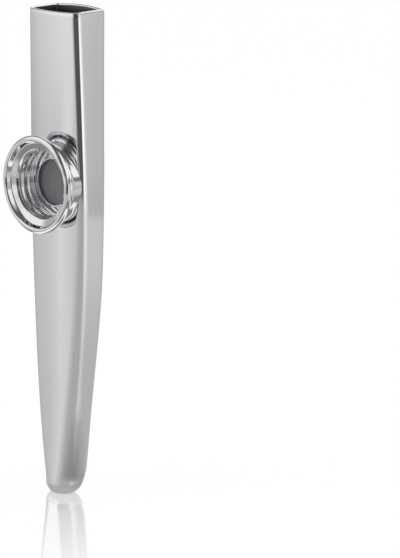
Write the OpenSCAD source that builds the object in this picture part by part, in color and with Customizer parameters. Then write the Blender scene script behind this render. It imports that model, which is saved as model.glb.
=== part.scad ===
// Metal kazoo: a flattened, tapering tube with a screwed turret that holds a membrane.
// Millimetres. It stands on its narrow end, +Z up to the mouth end, turret towards -Y.

/* [Tube] */
// Length from the narrow end to the mouth end
tube_len = 120; // [100:1:140]
// Thickness of the tube's sheet
tube_wall = 0.8; // [0.6:0.1:1]
// Width of the mouth end
mouth_w = 16.6; // [15:0.1:18]
// Distance of the front wall from the tube's axis at the mouth end
mouth_front = 5.35; // [5:0.05:5.6]
// Distance of the back wall from the tube's axis at the mouth end
mouth_back = 5.35; // [5:0.05:5.7]
// Corner radius at the mouth end
mouth_corner_r = 1.3; // [1.1:0.1:2]
// How far the corners of the mouth end lie below the middle of its sides
mouth_dip = 0.6; // [0:0.1:1]
// Height of the shoulder, where the long taper ends
shoulder_z = 56; // [50:1:60]
// Width at the shoulder
shoulder_w = 18.15; // [17.5:0.05:19]
// Distance of the front wall from the tube's axis at the shoulder
shoulder_front = 4.4; // [4.2:0.05:4.6]
// Distance of the back wall from the tube's axis above the shoulder
shoulder_back = 5.95; // [5.6:0.05:6.2]
// Corner radius at the shoulder
shoulder_corner_r = 1.7; // [1.5:0.1:2.5]
// Crown radius of the front and back faces beside and below the turret
face_crown_r = 30; // [24:1:60]
// Crown radius of the front and back faces at the mouth end
mouth_crown_r = 200; // [100:10:400]

/* [Narrow end] */
// Width of the narrow end
tip_w = 8.8; // [8.4:0.1:10]
// Distance of the front wall from the tube's axis at the narrow end
tip_front = 3.55; // [3.4:0.05:3.8]
// Distance of the back wall from the tube's axis at the narrow end
tip_back = 4.05; // [3.8:0.05:4.2]
// Corner radius just above the narrow end
tip_corner_r = 1.9; // [1.7:0.1:2.4]
// Height below which the back stops tapering
heel_z = 14; // [12:1:20]
// Height of the curl that draws the back wall in at the end
tip_back_curl_h = 8; // [6:0.1:9]
// How far the back wall is drawn in
tip_back_curl = 3.6; // [3:0.1:3.8]
// How far the front wall is drawn in
tip_front_curl = 0.8; // [0.8:0.05:1]
// How far each side wall is drawn in
tip_side_curl = 1.2; // [0.9:0.1:1.4]
// Width of the flat rim that the part stands on
tip_land = 0.35; // [0.25:0.05:0.4]

/* [Turret] */
// Height of the turret's axis above the narrow end
turret_z = 78; // [72:1:84]
// Height of the membrane's seat in front of the tube's axis
seat_h = 3.15; // [3:0.05:3.4]
// Outer radius of the collar
collar_r = 9.4; // [9.35:0.05:9.7]
// Sheet thickness of the collar
collar_sheet = 0.4; // [0.3:0.05:0.45]
// Radius of the opening in the collar's floor
collar_hole_r = 6.6; // [6:0.1:7]
// How far the bead round the collar's mouth stands out of its wall
collar_bead = 0.45; // [0.35:0.05:0.5]

/* [Cap] */
// Outer radius of the cap's rolled rim
rim_r = 11.85; // [11.6:0.05:13]
// Depth of the cup, from the rim to its floor
cup_depth = 6.4; // [6.2:0.05:7]
// Sheet thickness of the cap
cap_sheet = 0.4; // [0.3:0.05:0.45]
// Depth of the foot of the cap's flare below its rim
flare_depth = 2; // [1.8:0.1:2.2]
// Radius of the hole in the cap's floor
cap_hole_r = 5.6; // [5:0.1:6]
// Lead of the rolled thread, per turn
thread_lead = 1.9; // [1.6:0.1:2.2]

/* [Membrane] */
// Play of the membrane inside the collar
membrane_play = 0.45; // [0.3:0.05:0.7]
// Radius of the clear film inside the membrane's ring
film_clear_r = 6.6; // [6:0.1:7]
// Thickness of the membrane's ring
ring_t = 0.5; // [0.3:0.05:0.6]
// Thickness of the film
film_t = 0.1; // [0.05:0.05:0.15]

/* [Hidden] */

// How softly the two straight stretches of the tube's sides meet, at the shoulder
shoulder_blend = 0.6;
// Rounding of the mouth end's inner and outer edges
mouth_edge_r = 0.3;
// Height over which the dip of the mouth's corners fades in
mouth_dip_h = 8;
// Distance below the mouth end where the faces have reached their full crown
crown_fade_h = 34;
// Play between the collar and the seat cut for it in the tube
collar_fit = 0.03;
// Play between the collar's wall and the cap's thread crests
thread_play = 0.08;
// Gap between the collar's mouth and the cap's flare, when the cap is screwed home
flare_gap = 0.15;
// How far outside the collar's wall the flare starts
flare_start = 0.2;
// Overrun of every cut
cut_over = 1;
// Width of the flat top of the cap's rim, along the sheet's middle line
rim_top_w = 0.64;
// Height and width of the curl that the rim is turned down into
rim_curl_h = 0.75;
rim_curl_w = 0.4;
// Depth of the thread's grooves, pressed into the cap's wall from outside
groove_depth = 0.3;
// Least bend radius of the sheet in the turret
sheet_bend_r = 0.45;
// Height of the turned-up lip round the hole, above the cap's floor
lip_h = 0.35;
// How far the collar's thread ridge stands out of its wall
ridge_out = 0.22;

// Heights of the thread's grooves and crest below the flare's foot, as shares of the lead
groove_1_share = 1.35;
crest_share = 0.85;
groove_2_share = 0.38;
// Half the height of the collar's thread ridge, as a share of the lead
ridge_half_share = 1 / 3;
// Bend radius of the rim's curl, as a share of the cap's sheet
rim_bend_share = 0.75;

// Bluntness of the curl at the narrow end: 2 is an ellipse, less is flatter
curl_shape = 1.6;
// Roundness left to the corners in the curl, so that the side walls stay a little straight
tip_roundness_share = 0.96;
// Height where the front wall stops spreading, as a share of the shoulder's height
front_spread_share = 0.5;
// Distance below the mouth end where the front wall has reached its full depth
front_full_h = 30;

// Facets along a face, round a corner, round the tip's curl, up the tube and round a bend
FACE_STEPS = 6;
CORNER_STEPS = 5;
CURL_STEPS = 6;
TUBE_STEPS = 19;
BEND_STEPS = 5;
$fn = 96;

// Heights in front of the tube's axis, from the seat out to the rim
ring_h = seat_h + film_t;
cap_back_h = ring_h + ring_t;
cap_floor_h = cap_back_h + cap_sheet;
rim_h = cap_floor_h + cup_depth;
flare_foot_h = rim_h - flare_depth;
collar_back_h = seat_h - collar_sheet;
collar_mouth_h = flare_foot_h - cap_sheet - flare_gap;
// Radii inside the collar, in the order in which the pieces fit
collar_bore_r = collar_r - collar_sheet;
thread_r = collar_bore_r - thread_play;
membrane_r = collar_bore_r - membrane_play;
// The tube's axis lies behind the origin, which is under the middle of the whole part
axis_y = (rim_h - shoulder_back) / 2;

function blend(t) = t <= 0 ? 0 : t >= 1 ? 1 : t * t * (3 - 2 * t);
function mix(a, b, t) = a + (b - a) * t;
function soft_min(a, b, k) = (a + b - sqrt((a - b) * (a - b) + k * k)) / 2;

// Sizes of the tube's outer surface at height z, before the curl at its tip
function side_taper(z) = mix(tip_w, shoulder_w, z / shoulder_z);
function side_straight(z) = mix(shoulder_w, mouth_w, (z - shoulder_z) / (tube_len - shoulder_z));
function tube_w(z) = soft_min(side_taper(z), side_straight(z), shoulder_blend);
function tube_front(z) = z < shoulder_z
    ? mix(tip_front, shoulder_front, blend(z / (front_spread_share * shoulder_z)))
    : mix(shoulder_front, mouth_front, blend((z - shoulder_z) / (tube_len - front_full_h - shoulder_z)));
function tube_back(z) = z < shoulder_z
    ? mix(tip_back, shoulder_back, blend((z - heel_z) / (shoulder_z - heel_z)))
    : mix(shoulder_back, mouth_back, blend((z - shoulder_z) / (tube_len - shoulder_z)));
function corner_r(z) = z < shoulder_z
    ? mix(tip_corner_r, shoulder_corner_r, z / shoulder_z)
    : mix(shoulder_corner_r, mouth_corner_r, (z - shoulder_z) / (tube_len - shoulder_z));
function crown_r(z) = 1 / mix(1 / mouth_crown_r, 1 / face_crown_r, blend((tube_len - z) / crown_fade_h));

// A blunt quarter curve, h high and d deep, that draws a wall in below height h
function curl(z, h, d) = z >= h || h <= 0
    ? 0
    : d * (1 - pow(max(0, 1 - pow((h - z) / h, curl_shape)), 1 / curl_shape));

// Rounded outline with crowned front and back, counter-clockwise from above
function outline(w, f, b, r, crown) =
    let (
        cx = w / 2 - r,
        reach = sqrt(pow(crown - r, 2) - cx * cx),
        half = asin(cx / (crown - r)),
        fy = crown - f,
        by = b - crown
    )
    concat(
        [for (i = [0:FACE_STEPS])
            let (a = -90 + half * (2 * i / FACE_STEPS - 1)) [crown * cos(a), fy + crown * sin(a)]],
        [for (i = [1:CORNER_STEPS])
            let (a = mix(half - 90, 0, i / CORNER_STEPS)) [cx + r * cos(a), fy - reach + r * sin(a)]],
        [for (i = [0:CORNER_STEPS])
            let (a = mix(0, 90 - half, i / CORNER_STEPS)) [cx + r * cos(a), by + reach + r * sin(a)]],
        [for (i = [1:FACE_STEPS])
            let (a = 90 + half * (2 * i / FACE_STEPS - 1)) [crown * cos(a), by + crown * sin(a)]],
        [for (i = [1:CORNER_STEPS])
            let (a = mix(90 + half, 180, i / CORNER_STEPS)) [r * cos(a) - cx, by + reach + r * sin(a)]],
        [for (i = [0:CORNER_STEPS - 1])
            let (a = mix(180, 270 - half, i / CORNER_STEPS)) [r * cos(a) - cx, fy - reach + r * sin(a)]]
    );

// One ring of the tube at height z, set in by inset; sunk is how far the curl's own sheet is set in
function tube_ring(z, inset, sunk, at_z) =
    let (
        w = tube_w(z) - 2 * (inset + curl(z - sunk, tip_side_curl - sunk, tip_side_curl - sunk)),
        f = tube_front(z) - inset - curl(z - sunk, tip_front_curl - sunk, tip_front_curl - sunk),
        b = tube_back(z) - inset - curl(z - sunk, tip_back_curl_h - sunk, tip_back_curl - sunk),
        r = min(corner_r(z) - min(inset, tube_wall), w / 2, (f + b) / 2) * tip_roundness(z),
        dip = mouth_dip * blend(1 - (tube_len - z) / mouth_dip_h)
    )
    [for (p = outline(w, f, b, r, crown_r(z) - inset))
        [p.x, p.y, at_z - dip * pow(p.x / (w / 2), 2) * pow(2 * (p.y - (b - f) / 2) / (f + b), 2)]];
function tip_roundness(z) = z < tip_back_curl_h ? tip_roundness_share : 1;

// Heights of the rings, close together in the curl
curl_levels = [for (i = [0:CURL_STEPS - 1]) tip_back_curl_h * (1 - cos(90 * i / CURL_STEPS))];
wall_levels = [for (i = [0:TUBE_STEPS]) mix(tip_back_curl_h, tube_len - mouth_edge_r, i / TUBE_STEPS)];
inner_curl_levels = [for (i = [0:CURL_STEPS - 1])
    mix(tube_wall, tip_back_curl_h, 1 - cos(90 * i / CURL_STEPS))];

tube_rings = concat(
    [for (z = curl_levels) tube_ring(z, 0, 0, z)],
    [for (z = wall_levels) tube_ring(z, 0, 0, z)],
    [for (a = [45, 90]) tube_ring(tube_len, mouth_edge_r * (1 - cos(a)), 0,
        tube_len - mouth_edge_r * (1 - sin(a)))],
    [for (a = [90, 45]) tube_ring(tube_len, tube_wall - mouth_edge_r * (1 - cos(a)), 0,
        tube_len - mouth_edge_r * (1 - sin(a)))],
    [for (i = [TUBE_STEPS:-1:0]) tube_ring(wall_levels[i], tube_wall, tube_wall, wall_levels[i])],
    [for (i = [CURL_STEPS - 1:-1:0])
        tube_ring(inner_curl_levels[i], tube_wall, tube_wall, inner_curl_levels[i])],
    [for (z = [tube_wall, 0]) tube_ring(0, tip_land, 0, z)]
);

// Skin over a closed loop of rings
module loop_skin(rings) {
    n = len(rings[0]);
    m = len(rings);
    polyhedron(
        points = [for (ring = rings) each ring],
        faces = [for (j = [0:m - 1], i = [0:n - 1])
            let (a = j * n + i, b = j * n + (i + 1) % n,
                 c = ((j + 1) % m) * n + (i + 1) % n, d = ((j + 1) % m) * n + i)
            each [[a, c, b], [a, d, c]]]
    );
}

// Points of a path whose corners are rounded; each corner is [r, h, bend radius]
function corner_arc(p, q, s) =
    let (
        u = unit([p.x - q.x, p.y - q.y]),
        v = unit([s.x - q.x, s.y - q.y]),
        half = acos(u * v) / 2,
        back = q.z / tan(half),
        middle = [q.x, q.y] + unit(u + v) * q.z / sin(half),
        from = [q.x, q.y] + u * back - middle,
        turn = cross(u, v) > 0 ? -1 : 1,
        sweep = turn * (180 - 2 * half)
    )
    [for (i = [0:BEND_STEPS])
        let (a = sweep * i / BEND_STEPS)
        middle + [from.x * cos(a) - from.y * sin(a), from.x * sin(a) + from.y * cos(a)]];
function unit(v) = v / norm(v);
function bent_path(p) = concat(
    [[p[0].x, p[0].y]],
    [for (i = [1:len(p) - 2]) each corner_arc(p[i - 1], p[i], p[i + 1])],
    [[p[len(p) - 1].x, p[len(p) - 1].y]]
);
// Outline of a sheet of thickness t whose middle follows a path
function path_normal(p, i) =
    let (a = p[max(0, i - 1)], b = p[min(len(p) - 1, i + 1)], d = unit(b - a)) [-d.y, d.x];
function sheet_outline(p, t) = concat(
    [for (i = [0:len(p) - 1]) p[i] + path_normal(p, i) * t / 2],
    [for (i = [len(p) - 1:-1:0]) p[i] - path_normal(p, i) * t / 2]
);

// Puts what is drawn round Z on the turret's axis, its +Z towards the front
module on_turret() {
    translate([0, axis_y, turret_z]) rotate([90, 0, 0]) children();
}

// Flattened tube, open at both ends, with a round seat cut into its front for the collar
module body_tube() {
    color("silver") difference() {
        translate([0, axis_y, 0]) loop_skin(tube_rings);
        on_turret() translate([0, 0, collar_back_h])
            cylinder(r = collar_r + collar_fit, h = rim_h - collar_back_h);
    }
}

// Collar: a sheet cup let into the tube, its mouth turned out over a bead, one thread ridge showing
module turret_collar() {
    mid_r = collar_r - collar_sheet / 2;
    floor_h = seat_h - collar_sheet / 2;
    ridge_h = collar_mouth_h - thread_lead;
    ridge_half = ridge_half_share * thread_lead;
    path = bent_path([
        [collar_hole_r, floor_h, 0],
        [mid_r, floor_h, sheet_bend_r],
        [mid_r, ridge_h - ridge_half, sheet_bend_r],
        [mid_r + ridge_out, ridge_h, sheet_bend_r],
        [mid_r, ridge_h + ridge_half, sheet_bend_r],
        [mid_r + collar_bead, collar_mouth_h - collar_sheet, sheet_bend_r],
        [mid_r + collar_bead, collar_mouth_h, 0]
    ]);
    color("silver") on_turret() rotate_extrude() polygon(sheet_outline(path, collar_sheet));
}

// Membrane: a stiff ring on a disc of thin film, loose on the collar's floor
module membrane_ring() {
    color("white") on_turret() translate([0, 0, ring_h]) difference() {
        cylinder(r = membrane_r, h = ring_t);
        translate([0, 0, -cut_over]) cylinder(r = film_clear_r, h = ring_t + 2 * cut_over);
    }
}
module membrane_film() {
    color("ivory", 0.6) on_turret() translate([0, 0, seat_h]) cylinder(r = membrane_r, h = film_t);
}

// Cap: a flared cup with a turned-down rim, two thread grooves and a lipped hole in its floor
module turret_cap() {
    mid_r = thread_r - cap_sheet / 2;
    groove_r = mid_r - groove_depth;
    floor_h = cap_back_h + cap_sheet / 2;
    lip_r = cap_hole_r + cap_sheet / 2;
    foot_h = flare_foot_h - cap_sheet / 2;
    edge_r = rim_r - cap_sheet / 2;
    edge_h = rim_h - cap_sheet / 2;
    path = bent_path([
        [lip_r, cap_floor_h + lip_h, 0],
        [lip_r, floor_h, cap_sheet],
        [mid_r - groove_depth / 2, floor_h, sheet_bend_r],
        [groove_r, foot_h - groove_1_share * thread_lead, sheet_bend_r],
        [mid_r, foot_h - crest_share * thread_lead, sheet_bend_r],
        [groove_r, foot_h - groove_2_share * thread_lead, sheet_bend_r],
        [collar_r + flare_start, foot_h, sheet_bend_r],
        [edge_r - rim_top_w, edge_h, sheet_bend_r],
        [edge_r, edge_h, cap_sheet],
        [edge_r, edge_h - rim_curl_h, rim_bend_share * cap_sheet],
        [edge_r - rim_curl_w, edge_h - rim_curl_h, 0]
    ]);
    color("silver") on_turret() rotate_extrude() polygon(sheet_outline(path, cap_sheet));
}

body_tube();
turret_collar();
membrane_ring();
membrane_film();
turret_cap();
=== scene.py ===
"""Looks of a metal kazoo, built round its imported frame.

The tube, the collar, the cap and the membrane are each a class that holds its sizes in
millimetres. A turret piece is modelled round the Z axis, with its mouth up, and is then
turned onto the turret's axis. Every finished mesh is in metres, in the frame's own place.
"""

from __future__ import annotations

import logging
import math
from collections.abc import Callable, Sequence
from dataclasses import dataclass
from enum import Enum

import bmesh
import bpy
from mathutils import Matrix, Vector

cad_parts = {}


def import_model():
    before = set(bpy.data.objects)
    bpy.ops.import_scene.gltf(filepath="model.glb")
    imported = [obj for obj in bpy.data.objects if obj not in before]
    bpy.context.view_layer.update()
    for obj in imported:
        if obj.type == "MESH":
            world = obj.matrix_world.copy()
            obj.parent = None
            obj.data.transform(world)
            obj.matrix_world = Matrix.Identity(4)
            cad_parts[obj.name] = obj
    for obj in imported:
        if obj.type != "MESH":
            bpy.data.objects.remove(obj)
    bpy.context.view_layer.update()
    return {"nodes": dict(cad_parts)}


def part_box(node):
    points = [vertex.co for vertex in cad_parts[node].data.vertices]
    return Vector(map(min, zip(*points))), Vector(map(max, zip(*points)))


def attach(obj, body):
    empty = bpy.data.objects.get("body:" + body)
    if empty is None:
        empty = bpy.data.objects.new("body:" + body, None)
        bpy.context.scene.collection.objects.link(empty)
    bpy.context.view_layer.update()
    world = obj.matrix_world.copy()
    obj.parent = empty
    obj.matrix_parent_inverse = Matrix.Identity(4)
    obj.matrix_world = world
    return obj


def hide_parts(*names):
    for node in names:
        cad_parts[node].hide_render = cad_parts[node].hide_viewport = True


MM = 0.001
IMAGE_WIDTH = 400
IMAGE_HEIGHT = 558
# Faces round a turned piece, and round one bend of its section
TURN_STEPS = 192
BEND_STEPS = 8
# Longest edge along the section of a turned sheet
WALL_STEP = 0.12
# Points closer than this are one point
MERGE_DIST = 1e-5
# Rounding of the sheet metal's cut edges, the least angle that makes one, and the rounding's steps
SHEET_EDGE_ROUND = 0.07
SHEET_EDGE_ANGLE = math.radians(70)
SHEET_EDGE_STEPS = 3
# The profile that makes a bevel round
ROUND_PROFILE = 0.5
# Edges of a piece that are sharper than this stay sharp to the eye
SHARP_ANGLE = math.radians(40)
# Height of the cup's rim over the tube's axis
TURRET_H = 10.55
WHITE = "#ffffff"

log = logging.getLogger("kazoo")


class Body(Enum):
    """Bodies of the frame that a piece rides on."""

    TUBE = "tube"
    MEMBRANE = "membrane"
    CAP = "cap"


class Slot(Enum):
    """Material slots of the record."""

    TUBE_METAL = "tube_metal"
    TURRET_METAL = "turret_metal"
    RING_PLASTIC = "ring_plastic"
    FILM = "film"


# Sums that several pieces share


def blend(t: float) -> float:
    """Returns a smooth step from 0 to 1 as t goes from 0 to 1."""
    t = min(1.0, max(0.0, t))
    return t * t * (3 - 2 * t)


def mix(low: float, high: float, t: float) -> float:
    """Returns the value a share t of the way from low to high."""
    return low + (high - low) * t


def soft_min(a: float, b: float, reach: float) -> float:
    """Returns the smaller of two values, rounded where they differ by less than reach."""
    return min(a, b) - max(0.0, reach - abs(a - b)) ** 2 / (4 * reach)


def to_linear(colour: str, alpha: float = 1.0) -> tuple[float, float, float, float]:
    """Turns an sRGB hex colour to linear light.

    Args:
        colour: the colour, such as "#c0c0c2".
        alpha: the fourth value of the result.

    Returns:
        Red, green, blue and alpha.
    """
    channels = [int(colour[i : i + 2], 16) / 255 for i in (1, 3, 5)]
    linear = [c / 12.92 if c <= 0.04045 else ((c + 0.055) / 1.055) ** 2.4 for c in channels]
    return (*linear, alpha)


def grey(level: float) -> tuple[float, float, float, float]:
    """Returns a grey of that level, in linear light."""
    return (level, level, level, 1.0)


def in_metres(limits_mm: tuple[float, float]) -> tuple[float, float]:
    """Returns a lower and an upper limit in metres."""
    return (limits_mm[0] * MM, limits_mm[1] * MM)


def moved_out(point: Vector, out: float) -> Vector:
    """Returns a point moved away from the Z axis, at the same height.

    Args:
        point: the point.
        out: how far it moves.

    Returns:
        The new place.
    """
    radius = math.hypot(point.x, point.y)
    share = (radius + out) / radius
    return Vector((point.x * share, point.y * share, point.z))


# Meshes


def wrapped_grid(
    around: int,
    along: int,
    place: Callable[[int, int], Vector],
    is_inside: Callable[[float], bool] = lambda row: False,
    closed: bool = False,
) -> bmesh.types.BMesh:
    """Bends a flat grid into a tube of rings.

    Args:
        around: faces round each ring.
        along: faces from the first ring to the last.
        place: gives the place of point i of ring j.
        is_inside: says whether a row of faces takes the second material.
        closed: whether the last ring meets the first.

    Returns:
        The skin, its normals outwards.
    """
    bm = bmesh.new()
    bmesh.ops.create_grid(bm, x_segments=around, y_segments=along, size=1)
    for face in bm.faces:
        row = (face.calc_center_median().y + 1) / 2 * along
        face.material_index = int(is_inside(row))
    for vert in bm.verts:
        i = round((vert.co.x + 1) / 2 * around) % around
        j = round((vert.co.y + 1) / 2 * along)
        vert.co = place(i, j % along if closed else j)
    bmesh.ops.remove_doubles(bm, verts=bm.verts, dist=MERGE_DIST)
    bmesh.ops.recalc_face_normals(bm, faces=bm.faces)
    return bm


@dataclass(frozen=True)
class Corner:
    """A corner of a section: its radius, its height and its bend radius."""

    r: float
    h: float
    bend: float = 0.0


def spun_section(
    corners: Sequence[Corner],
    step: float,
    closed: bool = False,
    shape: Callable[[Vector], Vector] | None = None,
) -> bmesh.types.BMesh:
    """Spins a section with rounded corners round the Z axis.

    Args:
        corners: the section's corners in order.
        step: longest edge left along the section.
        closed: whether the last corner joins the first.
        shape: moves each point of the surface, such as onto a thread.

    Returns:
        The surface, open at its ends unless the section is closed.
    """
    bm = bmesh.new()
    verts = [bm.verts.new((c.r, 0, c.h)) for c in corners]
    links = list(zip(verts, verts[1:]))
    if closed:
        links.append((verts[-1], verts[0]))
    for first, second in links:
        bm.edges.new((first, second))
    places = [v.co.copy() for v in verts]
    for index, corner in enumerate(corners):
        if corner.bend == 0:
            continue
        here = places[index]
        arrive = here - places[index - 1]
        leave = places[(index + 1) % len(places)] - here
        bmesh.ops.bevel(
            bm,
            geom=[verts[index]],
            offset=corner.bend * math.tan(arrive.angle(leave) / 2),
            offset_type="OFFSET",
            segments=BEND_STEPS,
            profile=ROUND_PROFILE,
            affect="VERTICES",
            material=-1,
        )
    for edge in [e for e in bm.edges if e.calc_length() > step]:
        cuts = int(edge.calc_length() / step)
        bmesh.ops.subdivide_edges(bm, edges=[edge], cuts=cuts)
    section = [*bm.verts, *bm.edges]
    bmesh.ops.spin(bm, geom=section, axis=(0, 0, 1), angle=math.tau, steps=TURN_STEPS, use_merge=True)
    bmesh.ops.remove_doubles(bm, verts=bm.verts, dist=MERGE_DIST)
    if shape:
        for vert in bm.verts:
            vert.co = shape(vert.co)
    bmesh.ops.recalc_face_normals(bm, faces=bm.faces)
    return bm


def thicken(bm: bmesh.types.BMesh, sheet: float, edge_round: float) -> None:
    """Gives a middle surface the thickness of its sheet and rounds the sheet's edges.

    Args:
        bm: the middle surface, changed in place.
        sheet: the sheet's thickness.
        edge_round: how far the edges are rounded.
    """
    bm.normal_update()
    moves = [(v, v.normal * (v.calc_shell_factor() * sheet / 2)) for v in bm.verts]
    for vert, move in moves:
        vert.co += move
    bmesh.ops.solidify(bm, geom=[*bm.faces], thickness=sheet)
    bmesh.ops.recalc_face_normals(bm, faces=bm.faces)
    bm.normal_update()
    sharp = [e for e in bm.edges if e.calc_face_angle(0) > SHEET_EDGE_ANGLE]
    bmesh.ops.bevel(
        bm,
        geom=sharp,
        offset=edge_round,
        offset_type="OFFSET",
        segments=SHEET_EDGE_STEPS,
        profile=ROUND_PROFILE,
        affect="EDGES",
        material=-1,
    )


def add_object(name: str, data: bpy.types.ID) -> bpy.types.Object:
    """Adds an object to the scene.

    Args:
        name: the object's name.
        data: its mesh, lamp or camera.

    Returns:
        The object.
    """
    added = bpy.data.objects.new(name, data)
    bpy.context.scene.collection.objects.link(added)
    return added


def mesh_object(
    name: str, bm: bmesh.types.BMesh, finishes: Sequence[bpy.types.Material] = ()
) -> bpy.types.Object:
    """Turns a bmesh in millimetres into an object in metres.

    Args:
        name: the object's name.
        bm: the shape, in place, freed here.
        finishes: its materials.

    Returns:
        The object.
    """
    bmesh.ops.scale(bm, vec=(MM, MM, MM), verts=bm.verts)
    mesh = bpy.data.meshes.new(name)
    bm.to_mesh(mesh)
    bm.free()
    for finish in finishes:
        mesh.materials.append(finish)
    return add_object(name, mesh)


@dataclass(frozen=True)
class Piece:
    """What a finished mesh is called, what it rides on and what it stands for."""

    name: str
    body: Body
    slot: Slot
    nodes: tuple[str, ...] = ()

    def make(self, bm: bmesh.types.BMesh, finishes: Sequence[bpy.types.Material]) -> bpy.types.Object:
        """Turns a bmesh in millimetres into a piece of the real object, in metres.

        Args:
            bm: the shape, in place, freed here.
            finishes: the piece's materials.

        Returns:
            The piece, riding on its body.
        """
        piece = mesh_object(self.name, bm, finishes)
        piece.data.shade_smooth()
        piece.data.set_sharp_from_angle(angle=SHARP_ANGLE)
        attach(piece, self.body.value)
        if self.nodes:
            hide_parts(*self.nodes)
        log.info("%s: %d faces, on %s", self.name, len(piece.data.polygons), self.body.value)
        return piece


def cut_away(piece: bpy.types.Object, cutter: bpy.types.Object) -> None:
    """Cuts one object out of a piece and removes the cutter.

    Args:
        piece: the piece to cut.
        cutter: a closed shape in place.
    """
    modifier = piece.modifiers.new("cut", "BOOLEAN")
    modifier.operation = "DIFFERENCE"
    modifier.solver = "EXACT"
    modifier.object = cutter
    depsgraph = bpy.context.evaluated_depsgraph_get()
    cut = bpy.data.meshes.new_from_object(piece.evaluated_get(depsgraph))
    piece.modifiers.clear()
    old, piece.data = piece.data, cut
    cut.shade_smooth()
    cut.set_sharp_from_angle(angle=SHARP_ANGLE)
    bpy.data.meshes.remove(old)
    bpy.data.objects.remove(cutter)


# Finishes


def add_node(
    tree: bpy.types.NodeTree, kind: str, settings: dict | None = None, inputs: dict | None = None
) -> bpy.types.Node:
    """Adds one node with its settings and links.

    Args:
        tree: the node tree that gets the node.
        kind: the node's type, such as "ShaderNodeTexNoise".
        settings: the node's own properties.
        inputs: for each input, by name or number, a value or the output that feeds it.

    Returns:
        The new node.
    """
    node = tree.nodes.new(kind)
    for name, value in (settings or {}).items():
        setattr(node, name, value)
    for name, value in (inputs or {}).items():
        if isinstance(value, bpy.types.NodeSocket):
            tree.links.new(value, node.inputs[name])
        else:
            node.inputs[name].default_value = value
    return node


def new_finish(name: str) -> tuple[bpy.types.Material, bpy.types.NodeTree, bpy.types.NodeSocket]:
    """Starts a material.

    Args:
        name: the material's name.

    Returns:
        The material, its node tree, and in it the output that holds the place on the piece.
    """
    material = bpy.data.materials.new(name)
    material.use_nodes = True
    tree = material.node_tree
    tree.nodes.clear()
    return material, tree, add_node(tree, "ShaderNodeTexCoord").outputs["Object"]


def streaks(
    tree: bpy.types.NodeTree, place: bpy.types.NodeSocket, width_mm: float, length_mm: float, detail: float
) -> bpy.types.NodeSocket:
    """Adds noise that is drawn out along the Z axis.

    Args:
        tree: the node tree.
        place: the output that holds the place on the piece.
        width_mm: how wide a streak is.
        length_mm: how long a streak is.
        detail: how much finer noise is laid over the first.

    Returns:
        The noise, round about 0.5.
    """
    across = 1 / (width_mm * MM)
    stretched = add_node(
        tree,
        "ShaderNodeMapping",
        inputs={"Vector": place, "Scale": (across, across, 1 / (length_mm * MM))},
    )
    lines = add_node(
        tree,
        "ShaderNodeTexNoise",
        inputs={"Vector": stretched.outputs[0], "Scale": 1.0, "Detail": detail},
    )
    return lines.outputs[0]


def finish_by_pattern(
    tree: bpy.types.NodeTree,
    pattern: bpy.types.NodeSocket,
    colours: tuple[str, str],
    depth_mm: float,
    settings: dict[str, float],
) -> None:
    """Ends a material whose colour and relief both follow one pattern.

    Args:
        tree: the node tree.
        pattern: the output that holds the pattern.
        colours: the colour where the pattern is low and where it is high.
        depth_mm: how deep the relief is.
        settings: further inputs of the surface's shader.
    """
    colour = add_node(
        tree,
        "ShaderNodeMix",
        {"data_type": "RGBA"},
        {0: pattern, 6: to_linear(colours[0]), 7: to_linear(colours[1])},
    )
    bump = add_node(tree, "ShaderNodeBump", inputs={"Height": pattern, "Distance": depth_mm * MM})
    shader = add_node(
        tree,
        "ShaderNodeBsdfPrincipled",
        inputs={"Base Color": colour.outputs[2], "Normal": bump.outputs[0], **settings},
    )
    add_node(tree, "ShaderNodeOutputMaterial", inputs={"Surface": shader.outputs[0]})


@dataclass(frozen=True)
class PolishedAluminium:
    """Buffed aluminium: a clear mirror that the mop leaves a little wavy.

    The values here are the drawn tube's. Spun pieces are clearer and hardly wavy.
    """

    name: str = "drawn_and_polished_aluminium"
    colour: str = "#f3f3f5"
    roughness_low: float = 0.05
    roughness_high: float = 0.1
    # Buffing lines run along the tube. The real ones are finer than a pixel, and these just show
    line_width_mm: float = 0.25
    line_length_mm: float = 14.0
    line_depth_mm: float = 0.0004
    line_detail: float = 3.0
    # The part of the noise's range over which the roughness goes from low to high
    line_range: tuple[float, float] = (0.3, 0.7)
    # Waves that pressing and buffing leave in the sheet
    wave_mm: float = 9.0
    wave_depth_mm: float = 0.0035
    wave_detail: float = 1.0

    def make(self) -> bpy.types.Material:
        """Builds the material.

        Returns:
            The material.
        """
        material, tree, place = new_finish(self.name)
        lines = streaks(tree, place, self.line_width_mm, self.line_length_mm, self.line_detail)
        waves = add_node(
            tree,
            "ShaderNodeTexNoise",
            inputs={"Vector": place, "Scale": 1 / (self.wave_mm * MM), "Detail": self.wave_detail},
        )
        roughness = add_node(
            tree,
            "ShaderNodeMapRange",
            inputs={
                "Value": lines,
                "From Min": self.line_range[0],
                "From Max": self.line_range[1],
                "To Min": self.roughness_low,
                "To Max": self.roughness_high,
            },
        )
        waved = add_node(
            tree,
            "ShaderNodeBump",
            inputs={"Height": waves.outputs[0], "Distance": self.wave_depth_mm * MM},
        )
        lined = add_node(
            tree,
            "ShaderNodeBump",
            inputs={
                "Height": lines,
                "Distance": self.line_depth_mm * MM,
                "Normal": waved.outputs[0],
            },
        )
        shader = add_node(
            tree,
            "ShaderNodeBsdfPrincipled",
            inputs={
                "Base Color": to_linear(self.colour),
                "Metallic": 1.0,
                "Roughness": roughness.outputs[0],
                "Normal": lined.outputs[0],
            },
        )
        add_node(tree, "ShaderNodeOutputMaterial", inputs={"Surface": shader.outputs[0]})
        return material


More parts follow.
